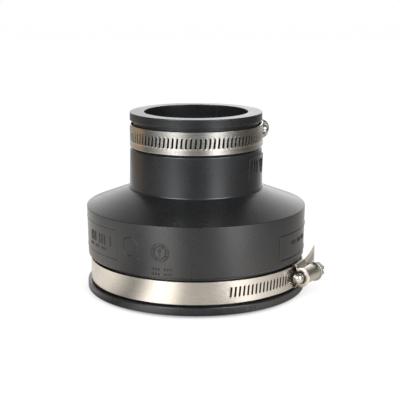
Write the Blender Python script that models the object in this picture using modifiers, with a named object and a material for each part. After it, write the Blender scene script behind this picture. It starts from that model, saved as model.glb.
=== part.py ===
"""Flexible rubber pipe coupling that joins a large pipe to a small one, with a worm-drive clamp round each end.

Metres, +Z up. It stands on the open face of the large socket, with the origin under the middle of the whole
coupling, screw heads included, so that the sleeve's axis lies a little to the -X side of it.
"""

import math

import bmesh
import bpy
import numpy as np
from mathutils import Matrix, Vector
from mathutils.geometry import interpolate_bezier

# Large socket of the rubber sleeve, for pipe of 114.3 mm outside diameter
LARGE_BORE_R = 0.05715
LARGE_LIP_WALL = 0.00698
LARGE_LIP_HEIGHT = 0.00465
LARGE_GROOVE_WALL = 0.00315
LARGE_BODY_WALL = 0.0069
LARGE_LENGTH = 0.0492

# Cone between the sockets
CONE_SLOPE = math.radians(21.1)
CONE_WALL = 0.006
CONE_EASE = 0.002
NECK_DEPTH = 0.0018
NECK_GAP = 0.0009

# Small socket of the rubber sleeve, for pipe of 60.3 mm outside diameter
SMALL_BORE_R = 0.03015
SMALL_LIP_WALL = 0.00824
SMALL_LIP_HEIGHT = 0.0048
SMALL_GROOVE_WALL = 0.00635
SMALL_BODY_WALL = 0.00875
SMALL_LENGTH = 0.0438
SMALL_SOCKET_DEPTH = 0.0405
STOP_LEDGE = 0.00315

# Draft and edges of the moulding
DRAFT = 0.0006
EDGE_ROUND = 0.0013
LIP_ROUND = 0.0006
BORE_LEAD_IN = 0.001
ARC_BULGE = math.sqrt(2.0) - 1.0
SLEEVE_STEPS = 72

# Strip of both clamps, half an inch wide
STRIP_WIDTH = 0.0127
STRIP_THICKNESS = 0.0006
SLOT_PITCH = 0.0026
SLOT_WIDTH = 0.0011
SLOT_LENGTH = 0.0058
SLOT_LEAN = math.radians(5.5)
STRIP_STEP = math.radians(5.0)
EASE_STEPS = 9
BEND_STEPS = 3
TAIL_STEPS = 8

# Housing of both clamps, stamped from sheet
SHEET = 0.0006
HOUSING_LENGTH = 0.0145
RIM_LENGTH = 0.0018
FOOT_WIDTH = 0.003
LEG_RISE = 0.0006
SHOULDER_RISE = 0.0016
FRONT_FLARE = 0.0011
REAR_FLARE = 0.0004
ARCH_STEPS = 7

# Worm screw of both clamps, with a slotted hexagon head
WORM_R = 0.0039
WORM_INSET = 0.0012
WORM_CHAMFER = 0.0006
TIP_R = 0.0032
TIP_REACH = 0.002
DOME_SWEEP = math.radians(120.0)
DOME_STEPS = 6
SCREW_TILT = math.radians(7.0)
FLANGE_R = 0.0057
FLANGE_THICKNESS = 0.001
HEX_ACROSS_FLATS = 0.0079
HEX_HEIGHT = 0.0056
HEX_CHAMFER = 0.0005
DRIVER_SLOT_WIDTH = 0.0012
DRIVER_SLOT_DEPTH = 0.0016
SCREW_STEPS = 24

# Clearances
SEAT_GAP = 0.0003
LAYER_GAP = 0.0002
WORM_GAP = 0.00025
HEAD_GAP = 0.0003

# How each clamp is set: its slack on the groove, the azimuth that its screw faces and where its housing starts
# along the straight part. Azimuth runs from -Y towards +X.
LARGE_SLACK = 0.00122
LARGE_GROOVE_SPARE = 0.00105
LARGE_FACING = math.radians(62.0)
LARGE_HOUSING_START = 0.0
LARGE_TAIL = 0.0425
LARGE_SLOTTED = 0.1048
LARGE_LEAVE = math.radians(22.0)
SMALL_SLACK = 0.0013
SMALL_GROOVE_SPARE = 0.00135
SMALL_FACING = math.radians(124.0)
SMALL_HOUSING_START = -0.0065
SMALL_TAIL = 0.017
SMALL_SLOTTED = 0.176
SMALL_LEAVE = math.radians(45.0)
REJOIN = math.radians(30.0)
TAIL_BEND = math.radians(8.5)
TAIL_BEND_R = 0.014
TAIL_R = 0.25
TAIL_CORNER = 0.0055

# Sizes that follow from those above
LEG_SPAN = STRIP_WIDTH / 2 + LAYER_GAP + SHEET
LARGE_GROOVE_WIDTH = SEAT_GAP + 2 * LEG_SPAN + LARGE_GROOVE_SPARE
SMALL_GROOVE_WIDTH = SEAT_GAP + 2 * LEG_SPAN + SMALL_GROOVE_SPARE
LARGE_FLOOR_R = LARGE_BORE_R + LARGE_GROOVE_WALL
SMALL_FLOOR_R = SMALL_BORE_R + SMALL_GROOVE_WALL
LARGE_BODY_R = LARGE_BORE_R + LARGE_BODY_WALL
SMALL_BODY_R = SMALL_BORE_R + SMALL_BODY_WALL
CONE_RUN = LARGE_BODY_R - SMALL_BODY_R - CONE_EASE
NECK_Z = LARGE_LENGTH + (CONE_RUN + CONE_EASE / 2) * math.tan(CONE_SLOPE)
SMALL_BODY_Z = NECK_Z + NECK_GAP
HEIGHT = SMALL_BODY_Z + SMALL_LENGTH
LARGE_CLAMP_Z = LARGE_LIP_HEIGHT + SEAT_GAP + LEG_SPAN
SMALL_GROOVE_Z = HEIGHT - SMALL_LIP_HEIGHT - SMALL_GROOVE_WIDTH
SMALL_CLAMP_Z = SMALL_GROOVE_Z + SEAT_GAP + LEG_SPAN

# Heights of the clamp's layers above the groove floor, through the housing
FOOT_W = SEAT_GAP + SHEET / 2
FIXED_STRIP_W = SEAT_GAP + SHEET + LAYER_GAP + STRIP_THICKNESS / 2
SLOTTED_STRIP_W = FIXED_STRIP_W + STRIP_THICKNESS + LAYER_GAP
SCREW_W = SLOTTED_STRIP_W + STRIP_THICKNESS / 2 + LAYER_GAP + WORM_R
ARCH_R = WORM_R + WORM_GAP + SHEET / 2


def clear_scene():
    for old in list(bpy.data.objects):
        bpy.data.objects.remove(old, do_unlink=True)


def new_collection(name):
    collection = bpy.data.collections.new(name)
    bpy.context.scene.collection.children.link(collection)
    return collection


def new_material(name, colour, roughness, metallic):
    material = bpy.data.materials.new(name)
    material.use_nodes = True
    shader = material.node_tree.nodes["Principled BSDF"]
    shader.inputs["Base Color"].default_value = (*colour, 1.0)
    shader.inputs["Roughness"].default_value = roughness
    shader.inputs["Metallic"].default_value = metallic
    return material


def new_object(name, mesh, material, collection):
    part = bpy.data.objects.new(name, mesh)
    collection.objects.link(part)
    if material:
        mesh.materials.append(material)
    return part


def as_cutter(part):
    part.hide_render = True
    part.display_type = "WIRE"
    return part


def turned(name, profile, steps, material, collection, closed):
    """A profile of (radius, z) points, outer side from top to bottom, turned round Z."""
    mesh = bpy.data.meshes.new(name)
    count = len(profile)
    edges = [(i, i + 1) for i in range(count - 1)]
    if closed:
        edges.append((count - 1, 0))
    mesh.from_pydata([(r, 0.0, z) for r, z in profile], edges, [])
    part = new_object(name, mesh, material, collection)
    turn = part.modifiers.new("turn", "SCREW")
    turn.axis = "Z"
    turn.steps = steps
    turn.render_steps = steps
    turn.use_merge_vertices = True
    turn.merge_threshold = 0.00001
    turn.use_smooth_shade = True
    return part


def rounded(corner, before, after, size):
    """Three points that round a profile corner, with size the length cut from each side."""
    corner = Vector(corner)
    start = corner + (Vector(before) - corner).normalized() * size
    end = corner + (Vector(after) - corner).normalized() * size
    middle = start.lerp(end, 0.5).lerp(corner, ARC_BULGE)
    return [tuple(start), tuple(middle), tuple(end)]


def rubber_sleeve(material, collection):
    """One moulding: both sockets, the cone between them, a groove near each end and the stop ledge inside."""
    small_lip_r = SMALL_BORE_R + SMALL_LIP_WALL
    large_lip_r = LARGE_BORE_R + LARGE_LIP_WALL
    small_groove_top = HEIGHT - SMALL_LIP_HEIGHT
    large_groove_top = LARGE_LIP_HEIGHT + LARGE_GROOVE_WIDTH
    stop_r = SMALL_BORE_R - STOP_LEDGE
    stop_z = HEIGHT - SMALL_SOCKET_DEPTH
    large_depth = LARGE_LENGTH + LARGE_BODY_WALL * math.tan(CONE_SLOPE) - CONE_WALL / math.cos(CONE_SLOPE)
    cone_end_z = large_depth + (LARGE_BORE_R - stop_r) * math.tan(CONE_SLOPE)
    lip_top = (small_lip_r, HEIGHT)
    lip_under = (small_lip_r, small_groove_top)
    small_top = (SMALL_BODY_R - DRAFT, SMALL_GROOVE_Z)
    small_foot = (SMALL_BODY_R, SMALL_BODY_Z)
    large_top = (LARGE_BODY_R, LARGE_LENGTH)
    large_foot = (LARGE_BODY_R - DRAFT, large_groove_top)
    lip_over = (large_lip_r, LARGE_LIP_HEIGHT)
    lip_foot = (large_lip_r, 0.0)
    neck_r = SMALL_BODY_R - NECK_DEPTH
    profile = [(SMALL_BORE_R + BORE_LEAD_IN, HEIGHT)]
    profile += rounded(lip_top, profile[0], lip_under, LIP_ROUND)
    profile += [lip_under, (SMALL_FLOOR_R, small_groove_top), (SMALL_FLOOR_R, SMALL_GROOVE_Z)]
    profile += rounded(small_top, profile[-1], small_foot, LIP_ROUND)
    profile += rounded(small_foot, small_top, (neck_r, SMALL_BODY_Z), LIP_ROUND)
    profile += [(neck_r, SMALL_BODY_Z), (neck_r, NECK_Z), (SMALL_BODY_R, NECK_Z)]
    profile.append((LARGE_BODY_R - CONE_RUN, LARGE_LENGTH + CONE_RUN * math.tan(CONE_SLOPE)))
    profile += rounded(large_top, profile[-1], large_foot, LIP_ROUND)
    profile += rounded(large_foot, large_top, (LARGE_FLOOR_R, large_groove_top), EDGE_ROUND)
    profile += [(LARGE_FLOOR_R, large_groove_top), (LARGE_FLOOR_R, LARGE_LIP_HEIGHT)]
    profile += rounded(lip_over, profile[-1], lip_foot, LIP_ROUND)
    profile += rounded(lip_foot, lip_over, (LARGE_BORE_R, 0.0), LIP_ROUND)
    profile += [(LARGE_BORE_R + BORE_LEAD_IN, 0.0), (LARGE_BORE_R, BORE_LEAD_IN)]
    profile += [(LARGE_BORE_R, large_depth), (stop_r, cone_end_z), (stop_r, stop_z)]
    profile += [(SMALL_BORE_R, stop_z), (SMALL_BORE_R, HEIGHT - BORE_LEAD_IN)]
    return turned("rubber_body", profile, SLEEVE_STEPS, material, collection, closed=True)


class Clamp:
    """Where one clamp's strip, housing and screw lie round its groove.

    Along is measured in the direction of the straight part, out from the sleeve's axis and up from the strip's middle.
    """

    def __init__(self, floor_r, z, slack, facing, start, tail, slotted, leave):
        self.floor_r = floor_r
        self.z = z
        self.loop_r = floor_r + slack + STRIP_THICKNESS / 2
        self.facing = facing
        self.start = start
        self.end = start + HOUSING_LENGTH
        self.tail = tail
        self.slotted = slotted
        self.leave = leave
        self.out = Vector((math.sin(facing), -math.cos(facing), 0.0))
        self.along = Vector((math.cos(facing), math.sin(facing), 0.0))

    def point(self, along, out, up=0.0):
        return self.along * along + self.out * out + Vector((0.0, 0.0, self.z + up))

    def on_loop(self, turn):
        """The point of the round part that lies turn past the facing direction, and the strip's heading there."""
        place = self.point(self.loop_r * math.sin(turn), self.loop_r * math.cos(turn))
        heading = self.along * math.cos(turn) - self.out * math.sin(turn)
        return place, heading

    def screw_axis(self, along):
        """Height above the groove floor of the screw's axis, which rises towards the head to clear the tail."""
        return SCREW_W + (along - self.start) * math.tan(SCREW_TILT)

    def strip_path(self):
        """Middle of the strip, from its fixed end under the housing round to the tip of its tail."""
        fixed_start = self.point(self.start + SHEET + LAYER_GAP, self.floor_r + FIXED_STRIP_W)
        fixed_end = self.point(self.end - RIM_LENGTH, self.floor_r + FIXED_STRIP_W)
        loop_start, loop_heading = self.on_loop(REJOIN)
        path = [fixed_start]
        path += eased(fixed_end, self.along, loop_start, loop_heading)
        sweep = 2 * math.pi - REJOIN - self.leave
        steps = math.ceil(sweep / STRIP_STEP)
        path += [self.on_loop(REJOIN + sweep * i / steps)[0] for i in range(1, steps)]
        leave_point, leave_heading = self.on_loop(-self.leave)
        entry = self.point(self.start - SHEET, self.floor_r + SLOTTED_STRIP_W)
        path += eased(leave_point, leave_heading, entry, self.along)
        path.append(self.point(self.end, self.floor_r + SLOTTED_STRIP_W))
        bend, heading = arc_points(path[-1], self.along, TAIL_BEND_R, TAIL_BEND, BEND_STEPS)
        tail_sweep = (self.tail - TAIL_BEND * TAIL_BEND_R) / TAIL_R
        tail, heading = arc_points(bend[-1], heading, TAIL_R, tail_sweep, TAIL_STEPS)
        return path + bend + tail


def eased(start, heading, end, end_heading):
    """Points of a smooth run between two places, leaving and arriving along the given headings."""
    reach = (end - start).length / 3
    return interpolate_bezier(start, start + heading * reach, end - end_heading * reach, end, EASE_STEPS)


def arc_points(place, heading, radius, sweep, steps):
    """Points of a level arc that turns in towards the sleeve, and the heading at its end."""
    half_turn = Matrix.Rotation(sweep / steps / 2, 3, "Z")
    chord = 2 * radius * math.sin(sweep / steps / 2)
    points = []
    for _ in range(steps):
        heading = half_turn @ heading
        place = place + heading * chord
        heading = half_turn @ heading
        points.append(place)
    return points, heading


def strip(name, clamp, material, collection):
    """The clamp's strip: a long flat sheet with leaning slots near its tail, laid along the path."""
    path = np.array([tuple(p) for p in clamp.strip_path()])
    lengths = np.concatenate([[0.0], np.cumsum(np.linalg.norm(np.diff(path, axis=0), axis=1))])
    total = lengths[-1]
    first_slot = total - clamp.slotted
    slot_count = int((clamp.slotted - TAIL_CORNER) / SLOT_PITCH)
    columns = [(s, 0.0) for s in lengths if s < first_slot - SLOT_PITCH]
    for i in range(slot_count):
        middle = first_slot + i * SLOT_PITCH
        columns += [(middle - SLOT_WIDTH / 2, math.tan(SLOT_LEAN)), (middle + SLOT_WIDTH / 2, math.tan(SLOT_LEAN))]
    slots = range(len(columns) - 2 * slot_count, len(columns), 2)
    columns.append((total, 0.0))
    rows = (-STRIP_WIDTH / 2, -SLOT_LENGTH / 2, SLOT_LENGTH / 2, STRIP_WIDTH / 2)
    bm = bmesh.new()
    grid = []
    for index, (s, lean) in enumerate(columns):
        column = []
        for row in rows:
            at_corner = index == len(columns) - 1 and abs(row) > SLOT_LENGTH / 2
            where = s + lean * row - (TAIL_CORNER if at_corner else 0.0)
            x, y, z = (np.interp(where, lengths, path[:, axis]) for axis in range(3))
            column.append(bm.verts.new((x, y, z + row)))
        grid.append(column)
    for index, (left, right) in enumerate(zip(grid, grid[1:])):
        for row in range(len(rows) - 1):
            if row == 1 and index in slots:
                continue
            bm.faces.new((left[row], right[row], right[row + 1], left[row + 1]))
    mesh = bpy.data.meshes.new(name)
    bm.to_mesh(mesh)
    bm.free()
    part = new_object(name, mesh, material, collection)
    thicken(part, STRIP_THICKNESS)
    return part


def thicken(part, thickness):
    sheet = part.modifiers.new("thickness", "SOLIDIFY")
    sheet.thickness = thickness
    sheet.offset = 0.0
    sheet.use_even_offset = True


def housing_section(arch_r, arch_w):
    """Half of the housing's section, from the foot's inner edge to the crown: (up, height above the floor)."""
    leg_u = STRIP_WIDTH / 2 + LAYER_GAP + SHEET / 2
    leg_top = SLOTTED_STRIP_W + STRIP_THICKNESS / 2 + LEG_RISE
    section = [(leg_u - FOOT_WIDTH, FOOT_W), (leg_u, FOOT_W), (leg_u, leg_top)]
    spring = math.asin((arch_w - leg_top - SHOULDER_RISE) / arch_r)
    for i in range(ARCH_STEPS + 1):
        angle = -spring + (math.pi / 2 + spring) * i / ARCH_STEPS
        section.append((arch_r * math.cos(angle), arch_w + arch_r * math.sin(angle)))
    return section


def housing(name, clamp, material, collection):
    """The stamped housing: an arch over the worm, legs down both edges of the strip and feet under its fixed end."""
    stations = [
        (0.0, FRONT_FLARE),
        (RIM_LENGTH * 0.35, FRONT_FLARE * 0.7),
        (RIM_LENGTH * 0.7, FRONT_FLARE * 0.2),
        (RIM_LENGTH, 0.0),
        (HOUSING_LENGTH - RIM_LENGTH, 0.0),
        (HOUSING_LENGTH, REAR_FLARE),
    ]
    footed = stations.index((RIM_LENGTH, 0.0))
    bm = bmesh.new()
    rows = []
    for offset, flare in stations:
        along = clamp.start + offset
        half = housing_section(ARCH_R + flare, clamp.screw_axis(along))
        whole = half + [(-u, w) for u, w in reversed(half[:-1])]
        rows.append([bm.verts.new(clamp.point(along, clamp.floor_r + w, u)) for u, w in whole])
    last = len(rows[0]) - 2
    for index, (front, rear) in enumerate(zip(rows, rows[1:])):
        for column in range(last + 1):
            if column in (0, last) and index != footed:
                continue
            bm.faces.new((front[column], front[column + 1], rear[column + 1], rear[column]))
    for vert in [v for v in bm.verts if not v.link_faces]:
        bm.verts.remove(vert)
    mesh = bpy.data.meshes.new(name)
    bm.to_mesh(mesh)
    bm.free()
    part = new_object(name, mesh, material, collection)
    thicken(part, SHEET)
    return part


def screw(name, clamp, material, collection, cutters):
    """The worm screw, turned about its own axis: domed tip, worm, flange and slotted hexagon head."""
    rim_r = ARCH_R + REAR_FLARE + SHEET / 2
    head_z = -HOUSING_LENGTH / math.cos(SCREW_TILT) - rim_r * math.tan(SCREW_TILT) - HEAD_GAP
    hex_r = HEX_ACROSS_FLATS / math.sqrt(3)
    neck_r = TIP_R * math.sin(DOME_SWEEP)
    profile = [(0.0, TIP_REACH + TIP_R)]
    for i in range(1, DOME_STEPS + 1):
        angle = DOME_SWEEP * i / DOME_STEPS
        profile.append((TIP_R * math.sin(angle), TIP_REACH + TIP_R * math.cos(angle)))
    profile += [(neck_r, -WORM_INSET), (WORM_R, -WORM_INSET - WORM_CHAMFER)]
    profile += [(WORM_R, head_z + WORM_INSET + WORM_CHAMFER), (neck_r, head_z + WORM_INSET)]
    profile += [(neck_r, head_z), (FLANGE_R, head_z), (FLANGE_R, head_z - FLANGE_THICKNESS)]
    profile.append((0.0, head_z - FLANGE_THICKNESS))
    part = turned(name, profile, SCREW_STEPS, material, collection, closed=False)
    along = clamp.along * math.cos(SCREW_TILT) + clamp.out * math.sin(SCREW_TILT)
    turn = (-along).to_track_quat("Z", "Y")
    part.location = clamp.point(clamp.start, clamp.floor_r + SCREW_W)
    part.rotation_mode = "QUATERNION"
    part.rotation_quaternion = turn

    hexagon = bmesh.new()
    height = HEX_HEIGHT + FLANGE_THICKNESS / 2
    bmesh.ops.create_cone(hexagon, cap_ends=True, segments=6, radius1=hex_r, radius2=hex_r, depth=height)
    rim = [e for e in hexagon.edges if all(v.co.z < 0 for v in e.verts)]
    bmesh.ops.bevel(hexagon, geom=rim, offset=HEX_CHAMFER, segments=1, affect="EDGES")
    middle = head_z - FLANGE_THICKNESS / 2 - height / 2
    bmesh.ops.translate(hexagon, verts=hexagon.verts, vec=(0.0, 0.0, middle))
    head = cutter_from(name + "_hexagon", hexagon, part, cutters)

    groove = bmesh.new()
    bmesh.ops.create_cube(groove, size=1.0)
    bmesh.ops.scale(groove, verts=groove.verts, vec=(4 * hex_r, DRIVER_SLOT_WIDTH, 2 * DRIVER_SLOT_DEPTH))
    bmesh.ops.translate(groove, verts=groove.verts, vec=(0.0, 0.0, middle - height / 2))
    slot = cutter_from(name + "_driver_slot", groove, part, cutters)

    join_or_cut(part, head, "UNION")
    join_or_cut(part, slot, "DIFFERENCE")
    return part


def cutter_from(name, bm, parent, cutters):
    mesh = bpy.data.meshes.new(name)
    bm.to_mesh(mesh)
    bm.free()
    cutter = as_cutter(new_object(name, mesh, None, cutters))
    cutter.parent = parent
    return cutter


def centre_on_origin(collection):
    """Moves everything along X, so that the origin lies under the middle between the furthest points."""
    axis = bpy.data.objects.new("sleeve_axis", None)
    collection.objects.link(axis)
    bpy.context.view_layer.update()
    graph = bpy.context.evaluated_depsgraph_get()
    reach = []
    for part in [p for p in collection.objects if p.type == "MESH"]:
        shape = part.evaluated_get(graph)
        reach += [(part.matrix_world @ vert.co).x for vert in shape.to_mesh().vertices]
        shape.to_mesh_clear()
        part.parent = axis
    axis.location.x = -(min(reach) + max(reach)) / 2


def join_or_cut(part, tool, operation):
    boolean = part.modifiers.new(tool.name, "BOOLEAN")
    boolean.operation = operation
    boolean.solver = "EXACT"
    boolean.object = tool


clear_scene()
coupling = new_collection("flexible_pipe_coupling")
guides = new_collection("cutters")
guides.hide_render = True

rubber = new_material("black_rubber", (0.03, 0.031, 0.034), 0.42, 0.0)
strip_steel = new_material("strip_steel", (0.62, 0.58, 0.52), 0.3, 1.0)
housing_steel = new_material("housing_steel", (0.6, 0.56, 0.52), 0.26, 1.0)
screw_steel = new_material("screw_steel", (0.66, 0.64, 0.6), 0.24, 1.0)

rubber_sleeve(rubber, coupling)

large_clamp = Clamp(
    LARGE_FLOOR_R,
    LARGE_CLAMP_Z,
    LARGE_SLACK,
    LARGE_FACING,
    LARGE_HOUSING_START,
    LARGE_TAIL,
    LARGE_SLOTTED,
    LARGE_LEAVE,
)
small_clamp = Clamp(
    SMALL_FLOOR_R,
    SMALL_CLAMP_Z,
    SMALL_SLACK,
    SMALL_FACING,
    SMALL_HOUSING_START,
    SMALL_TAIL,
    SMALL_SLOTTED,
    SMALL_LEAVE,
)
for size, clamp in (("large", large_clamp), ("small", small_clamp)):
    strip(f"{size}_band", clamp, strip_steel, coupling)
    housing(f"{size}_housing", clamp, housing_steel, coupling)
    screw(f"{size}_screw", clamp, screw_steel, coupling, guides)
centre_on_origin(coupling)
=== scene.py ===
"""Dresses a flexible rubber pipe coupling: a moulded sleeve with a worm-drive clamp round each socket."""
import math

import bmesh
import bpy
from mathutils import Matrix, Vector
from mathutils.geometry import interpolate_bezier


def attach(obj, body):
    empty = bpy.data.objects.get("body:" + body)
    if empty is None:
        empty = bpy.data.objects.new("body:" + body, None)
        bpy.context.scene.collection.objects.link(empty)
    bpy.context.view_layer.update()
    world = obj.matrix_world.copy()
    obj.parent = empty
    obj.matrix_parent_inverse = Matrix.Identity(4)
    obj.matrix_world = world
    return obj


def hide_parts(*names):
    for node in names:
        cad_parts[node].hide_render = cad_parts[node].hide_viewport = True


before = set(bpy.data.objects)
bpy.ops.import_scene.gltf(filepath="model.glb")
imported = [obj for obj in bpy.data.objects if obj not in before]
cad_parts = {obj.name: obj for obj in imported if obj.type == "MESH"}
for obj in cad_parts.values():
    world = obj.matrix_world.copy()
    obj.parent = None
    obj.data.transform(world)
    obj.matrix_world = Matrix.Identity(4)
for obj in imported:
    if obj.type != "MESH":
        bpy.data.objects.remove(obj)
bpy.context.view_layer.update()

# Rubber sleeve
# One moulding of black elastomer: a large socket below, a small one above, a cone between them, a groove for a
# clamp near each end and a stop ledge inside. It is turned from one section whose corners are rounded one by one.
MM = 0.001
AXIS = Vector((-0.00529385, 0.0, 0.0))
SLEEVE_TURN_R = 50 * MM
SLEEVE_STEPS = 240
SLEEVE_CORNER_STEPS = 5
SEAM_GAP = 0.002 * MM
DARK_RUBBER = (0.018, 0.0185, 0.0195, 1.0)
LIGHT_RUBBER = (0.025, 0.0257, 0.027, 1.0)
SLEEVE_CORNERS = (
    (30.15, 103.219, 0.45),
    (38.39, 103.219, 0.5),
    (38.39, 98.419, 0.5),
    (36.5, 98.419, 0.35),
    (36.5, 82.469, 0.35),
    (38.3, 82.469, 0.9),
    (38.9, 58.9, 1.5),
    (64.05, 49.2, 0.35),
    (63.45, 20.3, 1.2),
    (60.3, 20.3, 0.4),
    (60.3, 4.65, 0.4),
    (64.13, 4.65, 0.6),
    (64.13, 0.0, 0.7),
    (57.15, 0.0, 1.0),
    (57.15, 45.43, 3.0),
    (27.0, 57.065, 1.0),
    (27.0, 62.719, 0.7),
    (30.15, 62.719, 0.5),
)


def wire(tree, kind, inputs=None, **settings):
    """A node with its settings made, and each named input set to a value or joined to a socket."""
    node = tree.nodes.new(kind)
    for name, value in settings.items():
        setattr(node, name, value)
    for name, value in (inputs or {}).items():
        socket = node.inputs[name]
        if isinstance(value, bpy.types.NodeSocket):
            tree.links.new(value, socket)
        else:
            socket.default_value = value
    return node


def shape_tree(name, sockets):
    """An empty geometry tree with named inputs, and its input and output nodes."""
    tree = bpy.data.node_groups.new(name, "GeometryNodeTree")
    tree.interface.new_socket("Geometry", in_out="INPUT", socket_type="NodeSocketGeometry")
    for label, kind in sockets:
        tree.interface.new_socket(label, in_out="INPUT", socket_type=kind)
    tree.interface.new_socket("Geometry", in_out="OUTPUT", socket_type="NodeSocketGeometry")
    return tree, tree.nodes.new("NodeGroupInput").outputs, tree.nodes.new("NodeGroupOutput").inputs


def close_tree(tree, given, out, shape):
    """Ends a geometry tree: its shape made real and given the piece's material."""
    whole = wire(tree, "GeometryNodeRealizeInstances", {"Geometry": shape})
    dressed = wire(tree, "GeometryNodeSetMaterial", {"Geometry": whole.outputs[0], "Material": given["Material"]})
    tree.links.new(dressed.outputs[0], out["Geometry"])
    return tree


def rescale(tree, value, low, high, to_low=0.0, to_high=1.0):
    """The value carried from one range to another, and held at its ends."""
    ends = {"Value": value, "From Min": low, "From Max": high, "To Min": to_low, "To Max": to_high}
    return wire(tree, "ShaderNodeMapRange", ends).outputs["Result"]


def ramp(tree, factor, stops):
    """The colour at factor along a row of (place, colour) stops."""
    scale = wire(tree, "ShaderNodeValToRGB", {"Fac": factor})
    elements = scale.color_ramp.elements
    elements[0].position, elements[0].color = stops[0]
    elements[1].position, elements[1].color = stops[-1]
    for place, colour in stops[1:-1]:
        elements.new(place).color = colour
    return scale.outputs["Color"]


def new_piece(name, mesh):
    piece = bpy.data.objects.new(name, mesh)
    bpy.context.scene.collection.objects.link(piece)
    return piece


def settle(piece):
    """Turns everything that piece's modifiers make into its own plain mesh."""
    result = piece.evaluated_get(bpy.context.evaluated_depsgraph_get())
    mesh = bpy.data.meshes.new_from_object(result)
    mesh.name = piece.name
    piece.modifiers.clear()
    piece.data = mesh
    return piece


def run_tree(piece, tree, values):
    """Puts the tree on piece with the given sizes and keeps the result as a plain mesh."""
    shaper = piece.modifiers.new(tree.name, "NODES")
    shaper.node_group = tree
    for item in tree.interface.items_tree:
        if item.in_out == "INPUT" and item.name in values:
            shaper[item.identifier] = values[item.name]
    return settle(piece)


def turning_tree():
    """Turns a section of straight sides round Z, with each corner rounded by its own radius."""
    tree, given, out = shape_tree(
        "turned_section",
        (
            ("Turn radius", "NodeSocketFloat"),
            ("Turn steps", "NodeSocketInt"),
            ("Corner steps", "NodeSocketInt"),
            ("Material", "NodeSocketMaterial"),
        ),
    )
    section = wire(tree, "GeometryNodeMeshToCurve", {"Mesh": given["Geometry"]})
    radius = wire(tree, "GeometryNodeInputNamedAttribute", {"Name": "round"}, data_type="FLOAT")
    rounding = {"Radius": radius.outputs[0], "Count": given["Corner steps"], "Limit Radius": True}
    rounded = wire(tree, "GeometryNodeFilletCurve", {"Curve": section.outputs[0], **rounding}, mode="POLY")
    circle = {"Resolution": given["Turn steps"], "Radius": given["Turn radius"]}
    way = wire(tree, "GeometryNodeCurvePrimitiveCircle", circle)
    level = wire(tree, "GeometryNodeSetCurveNormal", {"Curve": way.outputs[0]}, mode="Z_UP")
    skin = wire(tree, "GeometryNodeCurveToMesh", {"Curve": level.outputs[0], "Profile Curve": rounded.outputs[0]})
    joined = wire(tree, "GeometryNodeMergeByDistance", {"Geometry": skin.outputs[0], "Distance": SEAM_GAP})
    smooth = wire(tree, "GeometryNodeSetShadeSmooth", {"Geometry": joined.outputs[0]})
    return close_tree(tree, given, out, smooth.outputs[0])


def face_out(mesh):
    """Turns every face of a closed mesh outwards."""
    bm = bmesh.new()
    bm.from_mesh(mesh)
    bmesh.ops.recalc_face_normals(bm, faces=bm.faces)
    if bm.calc_volume(signed=True) < 0:
        bmesh.ops.reverse_faces(bm, faces=bm.faces)
    bm.to_mesh(mesh)
    bm.free()


def turn_section(name, corners, closed, turn_r, steps, corner_steps, material):
    """A piece turned round Z from (radius, height, corner rounding) in millimetres."""
    mesh = bpy.data.meshes.new(name)
    count = len(corners)
    sides = [(i, (i + 1) % count) for i in range(count if closed else count - 1)]
    mesh.from_pydata([(r * MM - turn_r, -z * MM, 0.0) for r, z, _ in corners], sides, [])
    rounding = mesh.attributes.new("round", "FLOAT", "POINT")
    rounding.data.foreach_set("value", [size * MM for _, _, size in corners])
    piece = new_piece(name, mesh)
    run_tree(
        piece,
        turning,
        {"Turn radius": turn_r, "Turn steps": steps, "Corner steps": corner_steps, "Material": material},
    )
    face_out(piece.data)
    return piece


def rubber_finish():
    """Black rubber with the fine grain of the mould, faint bloom and slightly uneven gloss."""
    finish = bpy.data.materials.new("black_rubber")
    finish.use_nodes = True
    tree = finish.node_tree
    shader = tree.nodes["Principled BSDF"]
    place = wire(tree, "ShaderNodeTexCoord").outputs["Object"]
    bloom = wire(tree, "ShaderNodeTexNoise", {"Vector": place, "Scale": 38.0, "Detail": 4.0, "Roughness": 0.6})
    grain = wire(tree, "ShaderNodeTexNoise", {"Vector": place, "Scale": 1500.0, "Detail": 3.0, "Roughness": 0.7})
    colour = ramp(tree, bloom.outputs["Fac"], ((0.35, DARK_RUBBER), (0.75, LIGHT_RUBBER)))
    gloss = rescale(tree, bloom.outputs["Fac"], 0.3, 0.7, 0.25, 0.31)
    bump = wire(tree, "ShaderNodeBump", {"Height": grain.outputs["Fac"], "Strength": 0.12, "Distance": 0.15 * MM})
    tree.links.new(colour, shader.inputs["Base Color"])
    tree.links.new(gloss, shader.inputs["Roughness"])
    tree.links.new(bump.outputs["Normal"], shader.inputs["Normal"])
    shader.inputs["IOR"].default_value = 1.55
    return finish


turning = turning_tree()
black_rubber = rubber_finish()
sleeve = turn_section(
    "moulded_sleeve", SLEEVE_CORNERS, True, SLEEVE_TURN_R, SLEEVE_STEPS, SLEEVE_CORNER_STEPS, black_rubber
)
sleeve.data.transform(Matrix.Translation(AXIS))


# Raised marks of the sleeve
# Half-round beads that the mould leaves on the walls: two long bare frames, a date wheel with its ticks and pointer,
# a plain round insert and rows of plain bars. They are part of the one moulding, so they join the sleeve's mesh.

# Each wall's radius in millimetres, and how much it widens upwards
LARGE_WALL = (63.75, 0.02)
SUNK_WALL = (63.65, 0.02)
SMALL_WALL = (38.65, 0.025)
LIP_WALL = (64.1, 0.0)
FRAME_CUT = 0.8
BEAD_SIDES = 10
BEAD_SCALE = (1.0, 0.95, 1.0)
RING_STEPS = 40
WHEEL_RINGS = (4.9, 3.3)
WHEEL_TICKS = 12
TICK_ENDS = (3.75, 4.45)
POINTER = ((0.0, -2.0), (0.0, 2.1))
POINTER_TIP = ((-1.0, 0.9), (0.0, 2.1), (1.0, 0.9))


def maths(tree, operation, *values):
    """The result of a sum, product or other rule on one to three values."""
    return wire(tree, "ShaderNodeMath", dict(enumerate(values)), operation=operation).outputs[0]


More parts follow.
